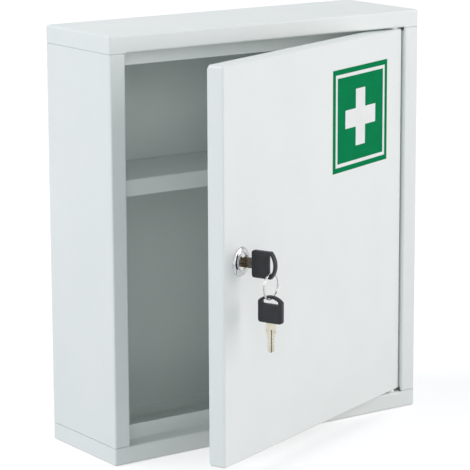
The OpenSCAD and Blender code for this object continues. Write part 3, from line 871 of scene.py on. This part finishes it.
@dataclass
class KeySet:
    """Two keys with moulded heads on a split ring. Sizes are in millimetres.

    Attributes:
        head_length: Length of a head along its key.
        head_width: Width of a head.
        head_thickness: Thickness of a head over its grip panels.
        head_arch: Height of the arched end.
        head_corner: Rounding of the two corners at the blade.
        head_edge: Rounding of the edges.
        least_corner: Least rounding that a pulled-in corner keeps.
        slot_wall: Wall between the slot and the arched end.
        slot_width: Width of the slot, along the key.
        slot_length: Length of the slot, across the key.
        slot_corner: Rounding of the slot's two corners.
        panel_start: Distance of the grip panel from the head's straight end.
        panel_end: Distance of its far edge from that end.
        panel_half: Half its width.
        panel_corner: Rounding of its corners.
        panel_rise: Height that it stands up, and the rounding of its edge.
        key_reach: Distance of the head in the lock from the door's face.
        hang_gap: Gap between the ring and the slot's wall in the hanging head.
        ring_radius: Radius of the split ring, to the middle of its wire.
        ring_wire: Radius of the wire that the keys hang from.
        ring_draw: Share of that radius that is drawn, so that the turns only touch.
        ring_pitch: Distance between the two turns.
        ring_ramp: Part of a turn over which the wire crosses over.
        ring_gap: Part of a turn left open at each end of the wire.
        ring_start: Angle of the wire's ends, in degrees.
        ring_steps: Steps along the wire.
        arc_points: Steps along an arched end.
    """

    head_length: float = 22.3
    head_width: float = 22.3
    head_thickness: float = 4.8
    head_arch: float = 4.6
    head_corner: float = 2.6
    head_edge: float = 0.75
    least_corner: float = 0.4
    slot_wall: float = 2.1
    slot_width: float = 4.7
    slot_length: float = 15.4
    slot_corner: float = 1.1
    panel_start: float = 2.2
    panel_end: float = 13.4
    panel_half: float = 8.6
    panel_corner: float = 1.6
    panel_rise: float = 0.18
    key_reach: float = 11.2
    hang_gap: float = 0.3
    ring_radius: float = 10.5
    ring_wire: float = 0.5
    ring_draw: float = 0.94
    ring_pitch: float = 0.94
    ring_ramp: float = 0.12
    ring_gap: float = 0.05
    ring_start: float = 20.0
    ring_steps: int = 180
    arc_points: int = 22

    def arched(self, base: float, half: float, inset: float, corner: float) -> list[Point2]:
        """Outline with a straight base, two straight sides and an arched end.

        Args:
            base: Distance of the base from the head's straight end.
            half: Half the outline's width.
            inset: Distance of the arched end in from the head's own.
            corner: Rounding of the two corners at the base.

        Returns:
            The outline.
        """
        head_half = self.head_width / 2
        full = (head_half**2 + self.head_arch**2) / (2 * self.head_arch)
        middle, radius = self.head_length - full, full - inset
        reach = math.asin(half / radius)
        turns = [reach * (1 - 2 * k / self.arc_points) for k in range(self.arc_points + 1)]
        arc = [(middle + radius * math.cos(a), radius * math.sin(a)) for a in turns]
        return fillet(arc + [(base, -half), (base, half)], [0.0] * len(arc) + [corner] * 2)

    def head_outline(self, inset: float) -> list[Point2]:
        """Outline of the head, pulled in by inset."""
        corner = max(self.head_corner - inset, self.least_corner)
        return self.arched(inset, self.head_width / 2 - inset, inset, corner)

    def slot_outline(self, inset: float) -> list[Point2]:
        """Outline of the D-shaped slot, opened up by inset."""
        base = self.head_length - self.slot_wall - self.slot_width - inset
        half = self.slot_length / 2 + inset
        return self.arched(base, half, self.slot_wall - inset, self.slot_corner)

    def panel_outline(self, inset: float) -> list[Point2]:
        """Outline of the raised grip panel, pulled in by inset."""
        low, high = self.panel_start + inset, self.panel_end - inset
        half = self.panel_half - inset
        corners = [(high, half), (high, -half), (low, -half), (low, half)]
        return fillet(corners, [self.panel_corner] * len(corners))

    def build_head(self, name: str, node: str, body: str, place: Matrix,
                   paints: Paintbox) -> None:
        """Build one moulded key head.

        Args:
            name: Name of the piece.
            node: The CAD node that it replaces.
            body: The CAD body that it rides on.
            place: Frame with X along the key, Y across it and Z through it.
            paints: The finishes.
        """
        bm = bmesh.new()
        levels = rounded_levels(self.head_thickness - 2 * self.panel_rise, self.head_edge)
        plate(bm, levels, (self.head_outline, self.slot_outline), self.panel_outline,
              self.panel_rise)
        head = finish_piece(name, bm, place, body,
                            (paints.get(MOULDED_ABS),))
        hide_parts(node)

    def build_ring(self, place: Matrix, paints: Paintbox) -> None:
        """Wind the split ring: two turns of wire with one crossing.

        Args:
            place: Frame at the ring's middle, with Z along its axis.
            paints: The finishes.
        """
        path = []
        for k in range(self.ring_steps + 1):
            turn = self.ring_gap + (2 - 2 * self.ring_gap) * k / self.ring_steps
            shift = max(-1.0, min(1.0, (turn - 1) / self.ring_ramp))
            rise = self.ring_pitch / 2 * math.sin(shift * math.pi / 2)
            angle = 2 * math.pi * turn + math.radians(self.ring_start)
            path.append(Vector((self.ring_radius * math.cos(angle),
                                self.ring_radius * math.sin(angle), rise)))
        bm = bmesh.new()
        sweep(bm, path, self.ring_wire * self.ring_draw, 12)
        ring = finish_piece("split_ring", bm, place, "ring",
                            (paints.get(SPRING_WIRE),), 60.0)
        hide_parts("key_ring")

    def build(self, paints: Paintbox) -> None:
        """Build the heads and the ring, and dress the blades.

        Args:
            paints: The finishes.
        """
        lock = lock_frame()
        flat = Matrix(((0, 0, -1), (0, 1, 0), (1, 0, 0))).to_4x4()
        flat.translation = Vector((0, 0, self.key_reach)) * MM
        self.build_head("key_head_moulding", "key_head", "key", lock @ flat, paints)
        inverse = lock.inverted()
        ring = [inverse @ v.co for v in frame["nodes"]["key_ring"].data.vertices]
        middle = Vector([(min(p[i] for p in ring) + max(p[i] for p in ring)) / 2
                         for i in range(3)])
        self.build_ring(lock @ Matrix.Translation(middle), paints)
        sag = self.ring_radius - math.sqrt(
            self.ring_radius**2 - (self.head_thickness / 2) ** 2
        )
        reach = self.head_length - self.slot_wall - self.hang_gap - self.ring_wire - sag
        hook = Vector((0.0, middle.y - self.ring_radius * MM, middle.z))
        down = Matrix(((0, 0, 1), (1, 0, 0), (0, 1, 0))).to_4x4()
        down.translation = hook - Vector((0, reach * MM, 0))
        self.build_head("spare_key_head_moulding", "spare_key_head", "spare_key",
                        lock @ down, paints)
        # The key in the lock gets a darker copy of the spare's nickel: painted shade.
        paints.dress("key_blade", NICKEL_PAINTED_SHADE)
        paints.dress("spare_key_blade", NICKEL_PLATE)


@dataclass
class Studio:
    """Camera, soft lamps, white surroundings and a pale floor. Sizes are in metres.

    Attributes:
        eye: Where the camera stands.
        azimuth: Direction that it looks in, from +Y towards +X, in degrees.
        elevation: Angle that it looks up, in degrees.
        roll: Angle that it leans, in degrees.
        lens: Its focal length, in millimetres.
        sensor: Width of its sensor, in millimetres.
        surround: Strength of the light from all round.
        floor_height: Height of the floor, just under the cabinet.
        floor_half: Half the floor's width.
        pool: Distances between which the floor's own light grows.
        glow: Strength of that light, near and far, which keeps the shadow near.
        aim: Point that the lamps are turned to.
        lamps: Name, place, side, power in watts and colour of each soft lamp.
    """

    eye: Point3 = (-1.1630, -1.7043, 0.4164)
    azimuth: float = 35.048
    elevation: float = -11.94
    roll: float = -0.24
    lens: float = 181.4
    sensor: float = 36.0
    surround: float = 0.46
    floor_height: float = -0.1803
    floor_half: float = 12.0
    pool: Point2 = (0.3, 3.0)
    glow: Point2 = (0.56, 0.80)
    aim: Point3 = (0.0, -0.1, 0.0)
    lamps: tuple[tuple[str, Point3, float, float, str], ...] = (
        ("right_softbox", (1.9, -1.9, 0.6), 2.2, 43.5, "FFF5F5"),
        ("high_left_softbox", (-2.1, 0.3, 1.6), 2.0, 36.5, "FFFBFE"),
        ("front_fill", (-1.2, -2.4, 0.7), 2.0, 9.0, "FFFFFF"),
    )

    def build(self) -> None:
        """Set up the camera, the lamps, the surroundings and the floor."""
        scene = bpy.context.scene
        scene.view_settings.view_transform = "Standard"
        self.build_camera(scene)
        self.build_surroundings(scene)
        for lamp in self.lamps:
            self.build_lamp(*lamp)
        self.build_floor()

    def build_camera(self, scene: bpy.types.Scene) -> None:
        """Place the camera and make it the scene's camera.

        Args:
            scene: The scene.
        """
        data = bpy.data.cameras.new("camera")
        data.lens = self.lens
        data.sensor_width = self.sensor
        camera = bpy.data.objects.new("camera", data)
        turn = (
            Matrix.Rotation(-math.radians(self.azimuth), 3, "Z")
            @ Matrix.Rotation(math.radians(90 + self.elevation), 3, "X")
            @ Matrix.Rotation(math.radians(self.roll), 3, "Z")
        )
        camera.rotation_euler = turn.to_euler()
        camera.location = self.eye
        bpy.context.scene.collection.objects.link(camera)
        scene.camera = camera

    def seen(self, tree: bpy.types.NodeTree) -> bpy.types.NodeSocket:
        """Tell looking from lighting, for what surrounds the object.

        Args:
            tree: The node tree that asks.

        Returns:
            A socket that is 1 for camera, mirror and see-through rays, and else 0.
        """
        path = add(tree, "ShaderNodeLightPath")
        through = add(tree, "ShaderNodeMath", {"operation": "MAXIMUM"},
                      {0: path.outputs["Is Camera Ray"],
                       1: path.outputs["Is Transmission Ray"]})
        return add(tree, "ShaderNodeMath", {"operation": "MAXIMUM"},
                   {0: through.outputs[0], 1: path.outputs["Is Glossy Ray"]}).outputs[0]

    def build_surroundings(self, scene: bpy.types.Scene) -> None:
        """Make all round white to look at, and softer as a light.

        Args:
            scene: The scene.
        """
        world = bpy.data.worlds.new("studio")
        world.use_nodes = True
        tree = world.node_tree
        tree.nodes.clear()
        light = add(tree, "ShaderNodeBackground",
                    {"Color": linear("F2F8FF"), "Strength": self.surround})
        white = add(tree, "ShaderNodeBackground", {"Color": (1, 1, 1, 1), "Strength": 1.0})
        mixed = add(tree, "ShaderNodeMixShader", None,
                    {0: self.seen(tree), 1: light.outputs[0], 2: white.outputs[0]})
        add(tree, "ShaderNodeOutputWorld", None, {"Surface": mixed.outputs[0]})
        scene.world = world

    def build_lamp(self, name: str, place: Point3, size: float, power: float,
                   colour: str) -> None:
        """Add one soft square lamp.

        Args:
            name: Name of the lamp.
            place: Where it stands.
            size: Side of its square, in metres.
            power: Its power, in watts.
            colour: Its sRGB hex colour.
        """
        data = bpy.data.lights.new(name, "AREA")
        data.shape = "SQUARE"
        data.size = size
        data.energy = power
        data.color = linear(colour)[:3]
        lamp = bpy.data.objects.new(name, data)
        lamp.location = place
        ahead = Vector(self.aim) - Vector(place)
        lamp.rotation_euler = ahead.to_track_quat("-Z", "Y").to_euler()
        bpy.context.scene.collection.objects.link(lamp)

    def build_floor(self) -> None:
        """Lay a pale floor that keeps the cabinet's shadow."""
        material, tree = new_material("pale_floor_paint")
        place = add(tree, "ShaderNodeTexCoord").outputs["Object"]
        noise = add(tree, "ShaderNodeTexNoise", {"Scale": 3.0, "Detail": 2.0},
                    {"Vector": place})
        tone = add(tree, "ShaderNodeValToRGB",
                   {"stops": ((0.0, linear("CDCECE")), (1.0, linear("D1D2D2")))},
                   {"Fac": noise.outputs["Fac"]})
        matt = add(tree, "ShaderNodeBsdfDiffuse", None, {"Color": tone.outputs["Color"]})
        far = add(tree, "ShaderNodeVectorMath", {"operation": "LENGTH"}, {0: place})
        level = add(tree, "ShaderNodeMapRange",
                    {"From Min": self.pool[0], "From Max": self.pool[1],
                     "To Min": self.glow[0], "To Max": self.glow[1]},
                    {"Value": far.outputs["Value"]})
        glow = add(tree, "ShaderNodeEmission", {"Color": (1, 1, 1, 1)},
                   {"Strength": level.outputs["Result"]})
        lifted = add(tree, "ShaderNodeAddShader", None,
                     {0: matt.outputs[0], 1: glow.outputs[0]})
        mixed = add(tree, "ShaderNodeMixShader", None,
                    {0: self.seen(tree), 1: matt.outputs[0], 2: lifted.outputs[0]})
        add(tree, "ShaderNodeOutputMaterial", None, {"Surface": mixed.outputs[0]})
        bm = bmesh.new()
        bmesh.ops.create_grid(bm, x_segments=4, y_segments=4, size=self.floor_half)
        mesh = bpy.data.meshes.new("floor")
        bm.to_mesh(mesh)
        bm.free()
        mesh.materials.append(material)
        floor = bpy.data.objects.new("floor", mesh)
        floor.location.z = self.floor_height
        bpy.context.scene.collection.objects.link(floor)


def main() -> None:
    """Build every sub-assembly in order."""
    logging.basicConfig(level=logging.INFO, format="%(name)s: %(message)s")
    paints = Paintbox()
    Studio().build()
    for part in (CabinetShell(), Door(), CamLock(), KeySet()):
        part.build(paints)
        LOG.info("finished %s", type(part).__name__)


if __name__ == "__main__":
    main()
